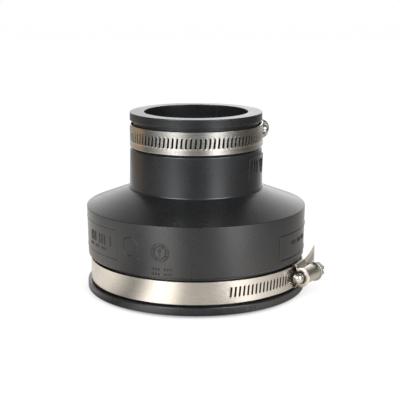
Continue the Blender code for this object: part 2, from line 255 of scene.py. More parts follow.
def vector_maths(tree, operation, *values):
    return wire(tree, "ShaderNodeVectorMath", dict(enumerate(values)), operation=operation).outputs[0]


def marks_tree():
    """Gives drawn lines a half-round bead and wraps them on an upright wall."""
    tree, given, out = shape_tree(
        "wrapped_marks",
        (
            ("Bead half width", "NodeSocketFloat"),
            ("Wall radius", "NodeSocketFloat"),
            ("Wall slope", "NodeSocketFloat"),
            ("Facing", "NodeSocketFloat"),
            ("Middle height", "NodeSocketFloat"),
            ("Material", "NodeSocketMaterial"),
        ),
    )
    drawn = wire(tree, "GeometryNodeMeshToCurve", {"Mesh": given["Geometry"]})
    level = wire(tree, "GeometryNodeSetCurveNormal", {"Curve": drawn.outputs[0]}, mode="Z_UP")
    circle = {"Resolution": BEAD_SIDES, "Radius": given["Bead half width"]}
    round_bead = wire(tree, "GeometryNodeCurvePrimitiveCircle", circle)
    bead = wire(tree, "GeometryNodeTransform", {"Geometry": round_bead.outputs[0], "Scale": BEAD_SCALE})
    skin = wire(
        tree,
        "GeometryNodeCurveToMesh",
        {"Curve": level.outputs[0], "Profile Curve": bead.outputs[0], "Fill Caps": True},
    )
    flat = wire(tree, "ShaderNodeSeparateXYZ", {"Vector": wire(tree, "GeometryNodeInputPosition").outputs[0]})
    turn = maths(tree, "DIVIDE", flat.outputs["X"], given["Wall radius"])
    bearing = maths(tree, "ADD", turn, given["Facing"])
    drawn_in = maths(tree, "MULTIPLY_ADD", flat.outputs["Y"], given["Wall slope"], given["Wall radius"])
    reach = maths(tree, "ADD", drawn_in, flat.outputs["Z"])
    back = maths(tree, "MULTIPLY", maths(tree, "COSINE", bearing), -1.0)
    beside = maths(tree, "MULTIPLY", maths(tree, "SINE", bearing), reach)
    before = maths(tree, "MULTIPLY", back, reach)
    height = maths(tree, "ADD", flat.outputs["Y"], given["Middle height"])
    place = wire(tree, "ShaderNodeCombineXYZ", {"X": beside, "Y": before, "Z": height})
    shifted = vector_maths(tree, "ADD", place.outputs[0], AXIS)
    wrapped = wire(tree, "GeometryNodeSetPosition", {"Geometry": skin.outputs[0], "Position": shifted})
    smooth = wire(tree, "GeometryNodeSetShadeSmooth", {"Geometry": wrapped.outputs[0]})
    return close_tree(tree, given, out, smooth.outputs[0])


def drawn_line(points, closed=False):
    """Points of a line in millimetres, at most a millimetre apart."""
    ends = list(points) + ([points[0]] if closed else [])
    line = []
    for (ax, ay), (bx, by) in zip(ends, ends[1:]):
        steps = max(1, math.ceil(math.hypot(bx - ax, by - ay)))
        line += [(ax + (bx - ax) * i / steps, ay + (by - ay) * i / steps) for i in range(steps)]
    return (line, True) if closed else (line + [ends[-1]], False)


def frame_lines(width, height):
    """A bare frame with its corners cut off."""
    x, y, cut = width / 2, height / 2, FRAME_CUT
    below = ((-x + cut, -y), (x - cut, -y), (x, -y + cut), (x, y - cut))
    above = ((x - cut, y), (-x + cut, y), (-x, y - cut), (-x, -y + cut))
    return [drawn_line(below + above, True)]


def ring_line(radius, x=0.0, y=0.0):
    turns = [math.tau * i / RING_STEPS for i in range(RING_STEPS)]
    return [(x + radius * math.cos(a), y + radius * math.sin(a)) for a in turns], True


def bar_lines(first, pitch, count, low, high):
    """A row of plain upright bars, every fourth one left out."""
    places = [first + pitch * i for i in range(count) if i % 4 != 3]
    return [drawn_line(((x, low), (x, high))) for x in places]


def wheel_lines():
    """A date wheel: two rings, twelve ticks between them and a plain pointer."""
    lines = [ring_line(radius) for radius in WHEEL_RINGS]
    for turn in (math.tau * i / WHEEL_TICKS for i in range(WHEEL_TICKS)):
        lines.append(([(reach * math.cos(turn), reach * math.sin(turn)) for reach in TICK_ENDS], False))
    return lines + [drawn_line(POINTER), drawn_line(POINTER_TIP)]


def wrap_marks(lines, wall, facing, height, half_width):
    """One group of marks as a mesh on its wall. Facing is in degrees, height and half width in millimetres."""
    wall_r, slope = wall
    points, sides = [], []
    for line, closed in lines:
        first, last = len(points), len(points) + len(line) - 1
        points += [(x * MM, y * MM, 0.0) for x, y in line]
        sides += [(i, i + 1) for i in range(first, last)] + ([(last, first)] if closed else [])
    mesh = bpy.data.meshes.new("marks")
    mesh.from_pydata(points, sides, [])
    piece = new_piece("marks", mesh)
    run_tree(
        piece,
        mark_wrapping,
        {
            "Bead half width": half_width * MM,
            "Wall radius": wall_r * MM,
            "Wall slope": slope,
            "Facing": math.radians(facing),
            "Middle height": height * MM,
            "Material": black_rubber,
        },
    )
    face_out(piece.data)
    return piece


mark_wrapping = marks_tree()
INSERT_RINGS = [ring_line(5.2), ring_line(0.5, 5.6, 6.4), ring_line(0.5, 5.6, -5.6)]
marks = [
    wrap_marks(*group)
    for group in (
        (frame_lines(71.0, 16.6), SUNK_WALL, -75.0, 34.9, 0.3),
        (bar_lines(8.0, 2.7, 9, -1.6, 3.8), LARGE_WALL, -75.0, 34.9, 0.42),
        (bar_lines(6.0, 1.9, 11, -4.6, -3.2), LARGE_WALL, -75.0, 34.9, 0.32),
        (frame_lines(71.0, 14.0), LARGE_WALL, 78.5, 31.7, 0.36),
        (bar_lines(-23.0, 1.9, 12, 0.4, 2.6), LARGE_WALL, 78.5, 31.7, 0.34),
        (wheel_lines(), LARGE_WALL, -17.8, 34.6, 0.36),
        (bar_lines(-5.0, 1.7, 7, 0.8, 2.0), LARGE_WALL, -17.0, 24.0, 0.36),
        (bar_lines(-5.0, 1.7, 7, -2.0, -0.8), LARGE_WALL, -17.0, 24.0, 0.36),
        (INSERT_RINGS, LARGE_WALL, -34.4, 35.8, 0.38),
        (frame_lines(23.0, 13.0), SMALL_WALL, 68.0, 73.0, 0.26),
        (bar_lines(-8.0, 2.9, 6, -4.0, 4.0), SMALL_WALL, 68.0, 73.0, 0.34),
        (bar_lines(-6.0, 1.5, 8, -0.8, 0.9), LIP_WALL, -41.5, 2.4, 0.36),
        (bar_lines(-14.0, 1.7, 16, -0.9, 1.0), LIP_WALL, 22.0, 2.4, 0.36),
    )
]
moulding = bmesh.new()
for part in (sleeve, *marks):
    moulding.from_mesh(part.data)
moulding.to_mesh(sleeve.data)
moulding.free()
for part in marks:
    bpy.data.objects.remove(part)
flats = sleeve.modifiers.new("flat_faces", "WEIGHTED_NORMAL")
flats.keep_sharp = True
settle(sleeve)
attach(sleeve, "sleeve_and_bands")
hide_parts("rubber_body")


# Clamp strips
# Half-inch stainless strip, punched with leaning slots for the worm's thread and cut round at the free end. It runs
# from under the housing round the groove and back through the housing, so the slotted end lies on the fixed one.
STRIP_SHEET = 0.6 * MM
SLOT_PITCH = 2.6 * MM
SLOT_WIDTH = 1.16 * MM
SLOT_LENGTH = 5.8 * MM
SLOT_LEAN = math.radians(5.5)
HOUSING_LENGTH = 14.5 * MM
FIXED_STRIP_OUT = 1.4 * MM
FIXED_STRIP_ENDS = (0.8 * MM, 1.8 * MM)
SLOTTED_STRIP_OUT = 2.2 * MM
SLOTTED_LEAD = 0.6 * MM
REJOIN = math.radians(30.0)
LOOP_STEPS = 240
EASE_STEPS = 18
TAIL_BEND = math.radians(8.5)
TAIL_BEND_R = 14 * MM
TAIL_R = 250 * MM
TAIL_CORNER = 5.5 * MM
STRIP_EDGE = 0.11 * MM
EDGE_ANGLE = math.radians(50.0)

# One slot pitch of flat strip, and the cut of its free end, in millimetres
CELL_HALF = 1.3
CELL_ROWS = (0.0, 2.35, 2.868, 3.6, 4.9, 6.1, 6.35)
SLOT_FIELD = 1.25
SLOT_BURR = ((0.0, 0.11), (0.2, 0.05))
SPOKE_ANGLE = 22.5
TAIL_ROUND = 6.2
TAIL_HALF = 6.42
TAIL_POWER = 2.6
TAIL_STEPS = 10
UV_PER_METRE = (5.0, 5.0, 5.0)


class Clamp:
    """Places on one clamp: along its straight part, out from the groove's floor and up from the strip's middle."""

    def __init__(self, floor_r, middle_z, slack, facing, housing_start, tail, slotted, leave):
        self.floor_r = floor_r
        self.middle_z = middle_z
        self.loop_r = floor_r + slack + STRIP_SHEET / 2
        self.out = Vector((math.sin(facing), -math.cos(facing), 0.0))
        self.along = Vector((math.cos(facing), math.sin(facing), 0.0))
        self.start = housing_start
        self.end = housing_start + HOUSING_LENGTH
        self.tail = tail
        self.slotted = slotted
        self.leave = leave

    def point(self, along, out, up=0.0):
        return AXIS + self.along * along + self.out * out + Vector((0.0, 0.0, self.middle_z + up))

    def on_loop(self, turn):
        place = self.point(self.loop_r * math.sin(turn), self.loop_r * math.cos(turn))
        return place, self.along * math.cos(turn) - self.out * math.sin(turn)

    def strip_line(self):
        """Middle line of the strip, from its fixed end to the tip of its tail."""
        first, last = FIXED_STRIP_ENDS
        line = [self.point(self.start + first, self.floor_r + FIXED_STRIP_OUT)]
        fixed_end = self.point(self.end - last, self.floor_r + FIXED_STRIP_OUT)
        line += eased(fixed_end, self.along, *self.on_loop(REJOIN))
        sweep = 2 * math.pi - REJOIN - self.leave
        line += [self.on_loop(REJOIN + sweep * i / LOOP_STEPS)[0] for i in range(1, LOOP_STEPS)]
        entry = self.point(self.start - SLOTTED_LEAD, self.floor_r + SLOTTED_STRIP_OUT)
        line += eased(*self.on_loop(-self.leave), entry, self.along)
        line.append(self.point(self.end, self.floor_r + SLOTTED_STRIP_OUT))
        heading = self.along
        tail_turn = (self.tail - TAIL_BEND * TAIL_BEND_R) / TAIL_R
        for radius, turn, steps in ((TAIL_BEND_R, TAIL_BEND, 5), (TAIL_R, tail_turn, 12)):
            half = Matrix.Rotation(turn / steps / 2, 3, "Z")
            for _ in range(steps):
                heading = half @ heading
                line.append(line[-1] + heading * 2 * radius * math.sin(turn / steps / 2))
                heading = half @ heading
        return line


def eased(start, heading, end, end_heading):
    """A smooth run between two places that leaves and arrives along the given headings."""
    reach = (end - start).length / 3
    return interpolate_bezier(start, start + heading * reach, end - end_heading * reach, end, EASE_STEPS)


def line_object(name, points):
    mesh = bpy.data.meshes.new(name)
    mesh.from_pydata(points, [(i, i + 1) for i in range(len(points) - 1)], [])
    return new_piece(name, mesh)


def flat_piece(name, points, faces):
    mesh = bpy.data.meshes.new(name)
    mesh.from_pydata([(x * MM, y * MM, z * MM) for x, y, z in points], [], faces)
    return new_piece(name, mesh)


def cell_rows():
    """Where the strip's mesh has its rows, from its lower edge to its upper one."""
    return [-y for y in reversed(CELL_ROWS[1:])] + list(CELL_ROWS)


def grid_faces(columns, rows):
    """Faces between columns of points, each column having so many rows."""
    return [
        (c * rows + r, (c + 1) * rows + r, (c + 1) * rows + r + 1, c * rows + r + 1)
        for c in range(columns)
        for r in range(rows - 1)
    ]


def plain_cell():
    """One slot pitch of strip with no slot in it, with its rows where a slotted cell has them."""
    rows = cell_rows()
    points = [(x, y, 0.0) for x in (-CELL_HALF, 0.0, CELL_HALF) for y in rows]
    return flat_piece("plain_cell", points, grid_faces(2, len(rows)))


def slotted_cell():
    """One slot pitch of strip with its leaning slot, whose round ends are pushed up a little by the punch."""
    straight = (SLOT_LENGTH - SLOT_WIDTH) / 2 / MM
    half = SLOT_WIDTH / 2 / MM
    lean = math.tan(SLOT_LEAN)
    spokes = []
    for side in (1, -1):
        for i in range(9):
            angle = math.radians(SPOKE_ANGLE * i)
            c, s = math.cos(angle), math.sin(angle)
            span = max(abs(c), abs(s))
            edge = (side * CELL_HALF * c / span, side * (straight + SLOT_FIELD * s / span))
            spokes.append((side * c, side * s, side * straight, *edge))
        spokes.append((-side, 0.0, 0.0, -side * CELL_HALF, 0.0))
    points = []
    for c, s, middle, edge_x, edge_y in spokes:
        lift = abs(s) ** 0.7
        for grow, rise in SLOT_BURR:
            y = middle + s * (half + grow)
            points.append((c * (half + grow) + lean * y, y, rise * lift))
        points.append((edge_x, edge_y, 0.0))
    faces = []
    count = len(spokes)
    for i in range(count):
        a, b = 3 * i, 3 * ((i + 1) % count)
        faces += [(a, a + 1, b + 1, b), (a + 1, a + 2, b + 2, b + 1)]
    # The five spokes whose ends lie along the cell's upper side, then those along its lower side
    for first, side in ((2, 1), (12, -1)):
        below = [3 * i + 2 for i in range(first, first + 5)]
        for y in CELL_ROWS[4:]:
            above = list(range(len(points), len(points) + 5))
            points += [(points[i][0], side * y, 0.0) for i in below]
            faces += [(below[i], above[i], above[i + 1], below[i + 1]) for i in range(4)]
            below = above
    return flat_piece("slotted_cell", points, faces)


def tail_end(length):
    """The free end of the strip, cut round."""
    rows = cell_rows()
    tips = [length - TAIL_ROUND * (1 - math.sqrt(max(0.0, 1 - (abs(y) / TAIL_HALF) ** TAIL_POWER))) for y in rows]
    points = [(tip * i / TAIL_STEPS, y, 0.0) for i in range(TAIL_STEPS + 1) for tip, y in zip(tips, rows)]
    return flat_piece("tail_end", points, grid_faces(TAIL_STEPS, len(rows)))


def strip_tree():
    """Sets plain cells, slotted cells and the tail in a row, then lays the row along a line in space."""
    tree, given, out = shape_tree(
        "laid_strip",
        (
            ("Line", "NodeSocketObject"),
            ("Plain cell", "NodeSocketObject"),
            ("Slotted cell", "NodeSocketObject"),
            ("Tail end", "NodeSocketObject"),
            ("Plain count", "NodeSocketInt"),
            ("Plain pitch", "NodeSocketFloat"),
            ("Slot count", "NodeSocketInt"),
            ("Slot pitch", "NodeSocketFloat"),
            ("Material", "NodeSocketMaterial"),
        ),
    )
    plain_length = maths(tree, "MULTIPLY", given["Plain count"], given["Plain pitch"])
    slotted_length = maths(tree, "MULTIPLY", given["Slot count"], given["Slot pitch"])
    whole_length = maths(tree, "ADD", plain_length, slotted_length)
    rows = []
    for count, pitch, cell, start in (
        ("Plain count", "Plain pitch", "Plain cell", 0.0),
        ("Slot count", "Slot pitch", "Slotted cell", plain_length),
    ):
        first = maths(tree, "MULTIPLY_ADD", given[pitch], 0.5, start)
        begin = wire(tree, "ShaderNodeCombineXYZ", {"X": first})
        step = wire(tree, "ShaderNodeCombineXYZ", {"X": given[pitch]})
        places = wire(
            tree,
            "GeometryNodeMeshLine",
            {"Count": given[count], "Start Location": begin.outputs[0], "Offset": step.outputs[0]},
        )
        shape = wire(tree, "GeometryNodeObjectInfo", {"Object": given[cell]})
        stretch = maths(tree, "DIVIDE", given[pitch], given["Slot pitch"])
        size = wire(tree, "ShaderNodeCombineXYZ", {"X": stretch, "Y": 1.0, "Z": 1.0})
        copies = {"Points": places.outputs[0], "Instance": shape.outputs["Geometry"], "Scale": size.outputs[0]}
        rows.append(wire(tree, "GeometryNodeInstanceOnPoints", copies))
    shape = wire(tree, "GeometryNodeObjectInfo", {"Object": given["Tail end"]})
    place = wire(tree, "ShaderNodeCombineXYZ", {"X": whole_length})
    moved = {"Geometry": shape.outputs["Geometry"], "Translation": place.outputs[0]}
    tail = wire(tree, "GeometryNodeTransform", moved)
    joined = wire(tree, "GeometryNodeJoinGeometry")
    for piece in (*rows, tail):
        tree.links.new(piece.outputs[0], joined.inputs[0])
    whole = wire(tree, "GeometryNodeRealizeInstances", {"Geometry": joined.outputs[0]})
    seams = {"Geometry": whole.outputs[0], "Distance": 2 * SEAM_GAP}
    sheet = wire(tree, "GeometryNodeMergeByDistance", seams)
    flat = wire(tree, "GeometryNodeInputPosition")
    unrolled = vector_maths(tree, "MULTIPLY", flat.outputs[0], UV_PER_METRE)
    mapped = wire(
        tree,
        "GeometryNodeStoreNamedAttribute",
        {"Geometry": sheet.outputs[0], "Name": "UVMap", "Value": unrolled},
        data_type="FLOAT2",
        domain="CORNER",
    )
    parts = wire(tree, "ShaderNodeSeparateXYZ", {"Vector": flat.outputs[0]})
    line = wire(tree, "GeometryNodeObjectInfo", {"Object": given["Line"]})
    way = wire(tree, "GeometryNodeMeshToCurve", {"Mesh": line.outputs["Geometry"]})
    along = {"Curves": way.outputs[0], "Length": parts.outputs["X"]}
    spot = wire(tree, "GeometryNodeSampleCurve", along, mode="LENGTH")
    outward = vector_maths(tree, "CROSS_PRODUCT", spot.outputs["Tangent"], (0.0, 0.0, 1.0))
    lift = {0: vector_maths(tree, "NORMALIZE", outward), "Scale": parts.outputs["Z"]}
    lifted = wire(tree, "ShaderNodeVectorMath", lift, operation="SCALE")
    up = wire(tree, "ShaderNodeCombineXYZ", {"Z": parts.outputs["Y"]})
    beside = vector_maths(tree, "ADD", lifted.outputs[0], up.outputs[0])
    final = vector_maths(tree, "ADD", spot.outputs["Position"], beside)
    laid = wire(tree, "GeometryNodeSetPosition", {"Geometry": mapped.outputs[0], "Position": final})
    smooth = wire(tree, "GeometryNodeSetShadeSmooth", {"Geometry": laid.outputs[0]})
    return close_tree(tree, given, out, smooth.outputs[0])


def thicken(piece, sheet, edge):
    """Gives a sheet its thickness and breaks its edges."""
    plate = piece.modifiers.new("sheet", "SOLIDIFY")
    plate.thickness = sheet
    plate.offset = 0.0
    broken = piece.modifiers.new("broken_edges", "BEVEL")
    broken.width = edge
    broken.segments = 2
    broken.limit_method = "ANGLE"
    broken.angle_limit = EDGE_ANGLE
    flats = piece.modifiers.new("flat_faces", "WEIGHTED_NORMAL")
    flats.weight = 80
    settle(piece)


def blend(tree, factor, first, second, rule="MIX"):
    """Two colours mixed by factor."""
    colours = {"Factor": factor, 6: first, 7: second}
    return wire(tree, "ShaderNodeMix", colours, data_type="RGBA", blend_type=rule).outputs[2]


def steel(name, colour, gloss, marks_scale, brushed=False):
    """Stainless steel with fine marks of rolling or polishing, and a little dullness in patches."""
    finish = bpy.data.materials.new(name)
    finish.use_nodes = True
    tree = finish.node_tree
    shader = tree.nodes["Principled BSDF"]
    shader.inputs["Metallic"].default_value = 1.0
    where = wire(tree, "ShaderNodeTexCoord")
    place = where.outputs["UV" if brushed else "Object"]
    streaks = wire(tree, "ShaderNodeMapping", {"Vector": place, "Scale": marks_scale})
    fine = {"Vector": streaks.outputs[0], "Scale": 3.0, "Detail": 3.0, "Roughness": 0.6}
    lines = wire(tree, "ShaderNodeTexNoise", fine)
    broad = {"Vector": where.outputs["Object"], "Scale": 55.0, "Detail": 3.0, "Roughness": 0.55}
    patches = wire(tree, "ShaderNodeTexNoise", broad)
    darker, lighter = ((*(share * c for c in colour), 1.0) for share in (0.8, 1.12))
    tint = blend(tree, patches.outputs["Fac"], darker, lighter)
    tree.links.new(tint, shader.inputs["Base Color"])
    rough = rescale(tree, lines.outputs["Fac"], 0.3, 0.7, gloss - 0.05, gloss + 0.06)
    tree.links.new(rough, shader.inputs["Roughness"])
    bump = wire(tree, "ShaderNodeBump", {"Height": lines.outputs["Fac"], "Strength": 0.06, "Distance": 0.08 * MM})
    tree.links.new(bump.outputs[0], shader.inputs["Normal"])
    if brushed:
        shader.inputs["Anisotropic"].default_value = 0.3
        shader.inputs["Anisotropic Rotation"].default_value = 0.25
        turn = wire(tree, "ShaderNodeTangent", direction_type="RADIAL", axis="Z")
        tree.links.new(turn.outputs[0], shader.inputs["Tangent"])
    return finish


def lay_strip(name, clamp, node):
    """One clamp's strip, laid along its own line."""
    points = clamp.strip_line()
    length = sum((b - a).length for a, b in zip(points, points[1:]))
    slots = int((clamp.slotted - TAIL_CORNER) / SLOT_PITCH)
    plain = length - clamp.slotted - SLOT_PITCH / 2
    plain_count = round(plain / SLOT_PITCH)
    line = line_object("strip_line", points)
    cells = [plain_cell(), slotted_cell(), tail_end((length - plain - slots * SLOT_PITCH) / MM)]
    piece = new_piece(name, bpy.data.meshes.new(name))
    run_tree(
        piece,
        strip_laying,
        {
            "Line": line,
            "Plain cell": cells[0],
            "Slotted cell": cells[1],
            "Tail end": cells[2],
            "Plain count": plain_count,
            "Plain pitch": plain / plain_count,
            "Slot count": slots,
            "Slot pitch": SLOT_PITCH,
            "Material": strip_steel,
        },
    )
    for helper in (line, *cells):
        bpy.data.objects.remove(helper)
    thicken(piece, STRIP_SHEET, STRIP_EDGE)
    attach(piece, "sleeve_and_bands")
    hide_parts(node)


strip_steel = steel("rolled_strip_steel", (0.66, 0.625, 0.57), 0.27, (3.0, 260.0, 260.0), brushed=True)
strip_laying = strip_tree()
large_clamp = Clamp(
    floor_r=60.3 * MM,
    middle_z=12.1 * MM,
    slack=1.22 * MM,
    facing=math.radians(62.0),
    housing_start=0.0,
    tail=42.5 * MM,
    slotted=104.8 * MM,
    leave=math.radians(22.0),
)
small_clamp = Clamp(
    floor_r=36.5 * MM,
    middle_z=89.919 * MM,
    slack=1.3 * MM,
    facing=math.radians(124.0),
    housing_start=-6.5 * MM,
    tail=17.0 * MM,
    slotted=176.0 * MM,
    leave=math.radians(45.0),
)
lay_strip("large_clamp_strip", large_clamp, "large_band")
lay_strip("small_clamp_strip", small_clamp, "small_band")


# Clamp housings
# Each is stamped from sheet: an arch over the screw, necked in behind a broad collar at its mouth, with legs down
# both edges of the strip and feet folded in under its fixed end. The screw is trapped between collar and back rim.
SCREW_OUT = 6.6 * MM
SCREW_TILT = math.radians(7.0)
ARCH_R = 4.45 * MM
ARCH_STEPS = 18
HOUSING_SHEET = 0.6 * MM
HOUSING_EDGE = 0.13 * MM
FOOT_WIDTH = 3.0 * MM
FOOT_OUT = 0.6 * MM
LEG_UP = 6.85 * MM
LEG_TOP = 3.1 * MM
SHOULDER_RISE = 1.6 * MM
BEND_RADII = (0.55 * MM, 0.7 * MM, 0.35 * MM)
BEND_STEPS = 5

# How many columns of the half section make the leg and foot, and the foot alone, and how long the foot is
LEG_COLUMNS = 13
FOOT_COLUMNS = 4
FOOT_ROWS = 8

# Lengths along the housing in millimetres: the mouth's end, where the legs start, the plain arch and the back rim
MOUTH_END = 2.7
LEG_START = 0.9
ARCH_RUN = 10.0
ARCH_RUN_STEPS = 8
REAR_RUN = 1.8
REAR_FLARE = 0.4
REAR_STEPS = 5

# The mouth's outline: how far back, and the arch's radius there
MOUTH = (
    (0.62, 5.58),
    (0.5, 5.25),
    (0.41, 4.85),
    (0.36, 4.45),
    (0.4, 4.07),
    (0.58, 3.78),
    (0.85, 3.66),
    (1.15, 3.68),
    (1.5, 3.85),
    (1.85, 4.14),
    (2.2, 4.36),
    (2.7, 4.45),
)


def softened(points, radii):
    """The line through the points with each corner rounded by its own radius."""
    line = [points[0]]
    for before, corner, after, size in zip(points, points[1:], points[2:], radii):
        start = corner + (before - corner).normalized() * size
        end = corner + (after - corner).normalized() * size
        for i in range(BEND_STEPS + 1):
            t = i / BEND_STEPS
            line.append(start * (1 - t) ** 2 + corner * 2 * t * (1 - t) + end * t**2)
    line.append(points[-1])
    return line


def housing_half(arch_r, axis_out):
    """Half of the section at one station, from the foot's inner edge to the crown: (up, out) in metres."""
    spring = math.asin((axis_out - LEG_TOP - SHOULDER_RISE) / arch_r)
    arch = [
        Vector((arch_r * math.cos(a), axis_out + arch_r * math.sin(a)))
        for a in (-spring + (math.pi / 2 + spring) * i / ARCH_STEPS for i in range(ARCH_STEPS + 1))
    ]
    corners = ((LEG_UP - FOOT_WIDTH, FOOT_OUT), (LEG_UP, FOOT_OUT), (LEG_UP, LEG_TOP), *arch[:2])
    return softened([Vector(corner) for corner in corners], BEND_RADII) + arch[2:]


def stamp_housing(name, clamp, node):
    """One clamp's housing, drawn through sections from the broad collar at its mouth back to the screw's head."""
    last = len(MOUTH) - 1
    stations = [
        ((LEG_START + (MOUTH_END - LEG_START) * i / last) * MM, offset * MM, radius * MM)
        for i, (offset, radius) in enumerate(MOUTH)
    ]
    for i in range(1, ARCH_RUN_STEPS + 1):
        offset = (MOUTH_END + ARCH_RUN * i / ARCH_RUN_STEPS) * MM
        stations.append((offset, offset, ARCH_R))
    for share in (i / REAR_STEPS for i in range(1, REAR_STEPS + 1)):
        offset = (MOUTH_END + ARCH_RUN + REAR_RUN * share) * MM
        stations.append((offset, offset, ARCH_R + REAR_FLARE * MM * share**2))
    rows = []
    for leg, offset, radius in stations:
        half = housing_half(radius, SCREW_OUT + offset * math.tan(SCREW_TILT))
        section = [(u, w, leg if c < LEG_COLUMNS else offset) for c, (u, w) in enumerate(half)]
        section += [(-u, w, at) for u, w, at in reversed(section[:-1])]
        rows.append([clamp.point(clamp.start + at, clamp.floor_r + w, u) for u, w, at in section])
    width = len(rows[0])
    points = [p for row in rows for p in row]
    faces = []
    for r in range(len(rows) - 1):
        for c in range(width - 1):
            on_foot = c < FOOT_COLUMNS or c >= width - 1 - FOOT_COLUMNS
            if on_foot and not last <= r < last + FOOT_ROWS:
                continue
            faces.append((r * width + c, r * width + c + 1, (r + 1) * width + c + 1, (r + 1) * width + c))
    mesh = bpy.data.meshes.new(name)
    mesh.from_pydata(points, [], faces)
    bm = bmesh.new()
    bm.from_mesh(mesh)
    bmesh.ops.delete(bm, geom=[v for v in bm.verts if not v.link_faces], context="VERTS")
    for face in bm.faces:
        face.smooth = True
    bm.to_mesh(mesh)
    bm.free()
    mesh.materials.append(housing_steel)
    piece = new_piece(name, mesh)
    thicken(piece, HOUSING_SHEET, HOUSING_EDGE)
    face_out(piece.data)
    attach(piece, "sleeve_and_bands")
    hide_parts(node)


housing_steel = steel("pressed_housing_steel", (0.78, 0.73, 0.64), 0.34, (120.0, 120.0, 120.0))
stamp_housing("large_clamp_housing", large_clamp, "large_housing")
stamp_housing("small_clamp_housing", small_clamp, "small_housing")


# Worm screws
# Cold-headed steel: a domed tip in the housing's mouth, a rolled worm that bites the slots, a flange against the
# back of the housing and a slotted hexagon head. Each turns in its housing and drives the strip through.
TIP_R = 3.2
TIP_Z = 2.0
CORE_R = 3.1
HEAD_Z = -15.541
FLANGE_R = 5.7
FLANGE = 1.0
HEX_ACROSS = 7.9
HEX_END = HEAD_Z - 6.6
HEX_INSET = 0.5
HEX_ROUND = 0.65 * MM
HEAD_EDGE = 0.12 * MM
DRIVER_SLOT = (20 * MM, 1.2 * MM, 3.2 * MM)
SCREW_TURN_R = 2 * MM
SCREW_STEPS = 72
SCREW_CORNER_STEPS = 4
RIDGE = {
    "Pitch": SLOT_PITCH,
    "Turns": 3.9,
    "Middle radius": 2.95 * MM,
    "Ridge height": 0.93 * MM,
    "Bottom": -13.6 * MM,
}


def thread_tree():
    """A worm's ridge that climbs round Z."""
    tree, given, out = shape_tree(
        "worm_ridge",
        (
            ("Pitch", "NodeSocketFloat"),
            ("Turns", "NodeSocketFloat"),
            ("Middle radius", "NodeSocketFloat"),
            ("Ridge height", "NodeSocketFloat"),
            ("Bottom", "NodeSocketFloat"),
            ("Material", "NodeSocketMaterial"),
        ),
    )
    radius = given["Middle radius"]
    climb = {"Resolution": 36, "Rotations": given["Turns"], "Start Radius": radius, "End Radius": radius}
    climb["Height"] = maths(tree, "MULTIPLY", given["Pitch"], given["Turns"])
    way = wire(tree, "GeometryNodeCurveSpiral", climb)
    level = wire(tree, "GeometryNodeSetCurveNormal", {"Curve": way.outputs[0]}, mode="Z_UP")
    circle = {"Resolution": 4, "Radius": given["Ridge height"]}
    ridge = wire(tree, "GeometryNodeCurvePrimitiveCircle", circle)
    skin = wire(
        tree,
        "GeometryNodeCurveToMesh",
        {"Curve": level.outputs[0], "Profile Curve": ridge.outputs[0], "Fill Caps": True},
    )
    place = wire(tree, "ShaderNodeCombineXYZ", {"Z": given["Bottom"]})
    moved = {"Geometry": skin.outputs[0], "Translation": place.outputs[0]}
    return close_tree(tree, given, out, wire(tree, "GeometryNodeTransform", moved).outputs[0])


def hexagon_head():
    """The hexagon with its driver slot, every edge broken."""
    bm = bmesh.new()
    height = (HEAD_Z - HEX_INSET - HEX_END) * MM
    radius = HEX_ACROSS / math.sqrt(3) * MM
    bmesh.ops.create_cone(bm, cap_ends=True, segments=6, radius1=radius, radius2=radius, depth=height)
    rim = [e for e in bm.edges if all(v.co.z < 0 for v in e.verts)]
    bmesh.ops.bevel(bm, geom=rim, offset=HEX_ROUND, segments=3, profile=0.5, affect="EDGES")
    bmesh.ops.translate(bm, verts=bm.verts, vec=(0.0, 0.0, HEX_END * MM + height / 2))
    mesh = bpy.data.meshes.new("hexagon")
    bm.to_mesh(mesh)
    bm.free()
    head = new_piece("hexagon", mesh)
    cut = bmesh.new()
    bmesh.ops.create_cube(cut, size=1.0)
    bmesh.ops.scale(cut, verts=cut.verts, vec=DRIVER_SLOT)
    bmesh.ops.translate(cut, verts=cut.verts, vec=(0.0, 0.0, HEX_END * MM))
    cut_mesh = bpy.data.meshes.new("driver_slot")
    cut.to_mesh(cut_mesh)
    cut.free()
    cutter = new_piece("driver_slot", cut_mesh)
    slot = head.modifiers.new("driver_slot", "BOOLEAN")
    slot.operation = "DIFFERENCE"
    slot.solver = "EXACT"
    slot.object = cutter
    broken = head.modifiers.new("broken_edges", "BEVEL")
    broken.width = HEAD_EDGE
    broken.segments = 2
    broken.limit_method = "ANGLE"
    broken.angle_limit = math.radians(25.0)
    settle(head)
    bpy.data.objects.remove(cutter)
    return head


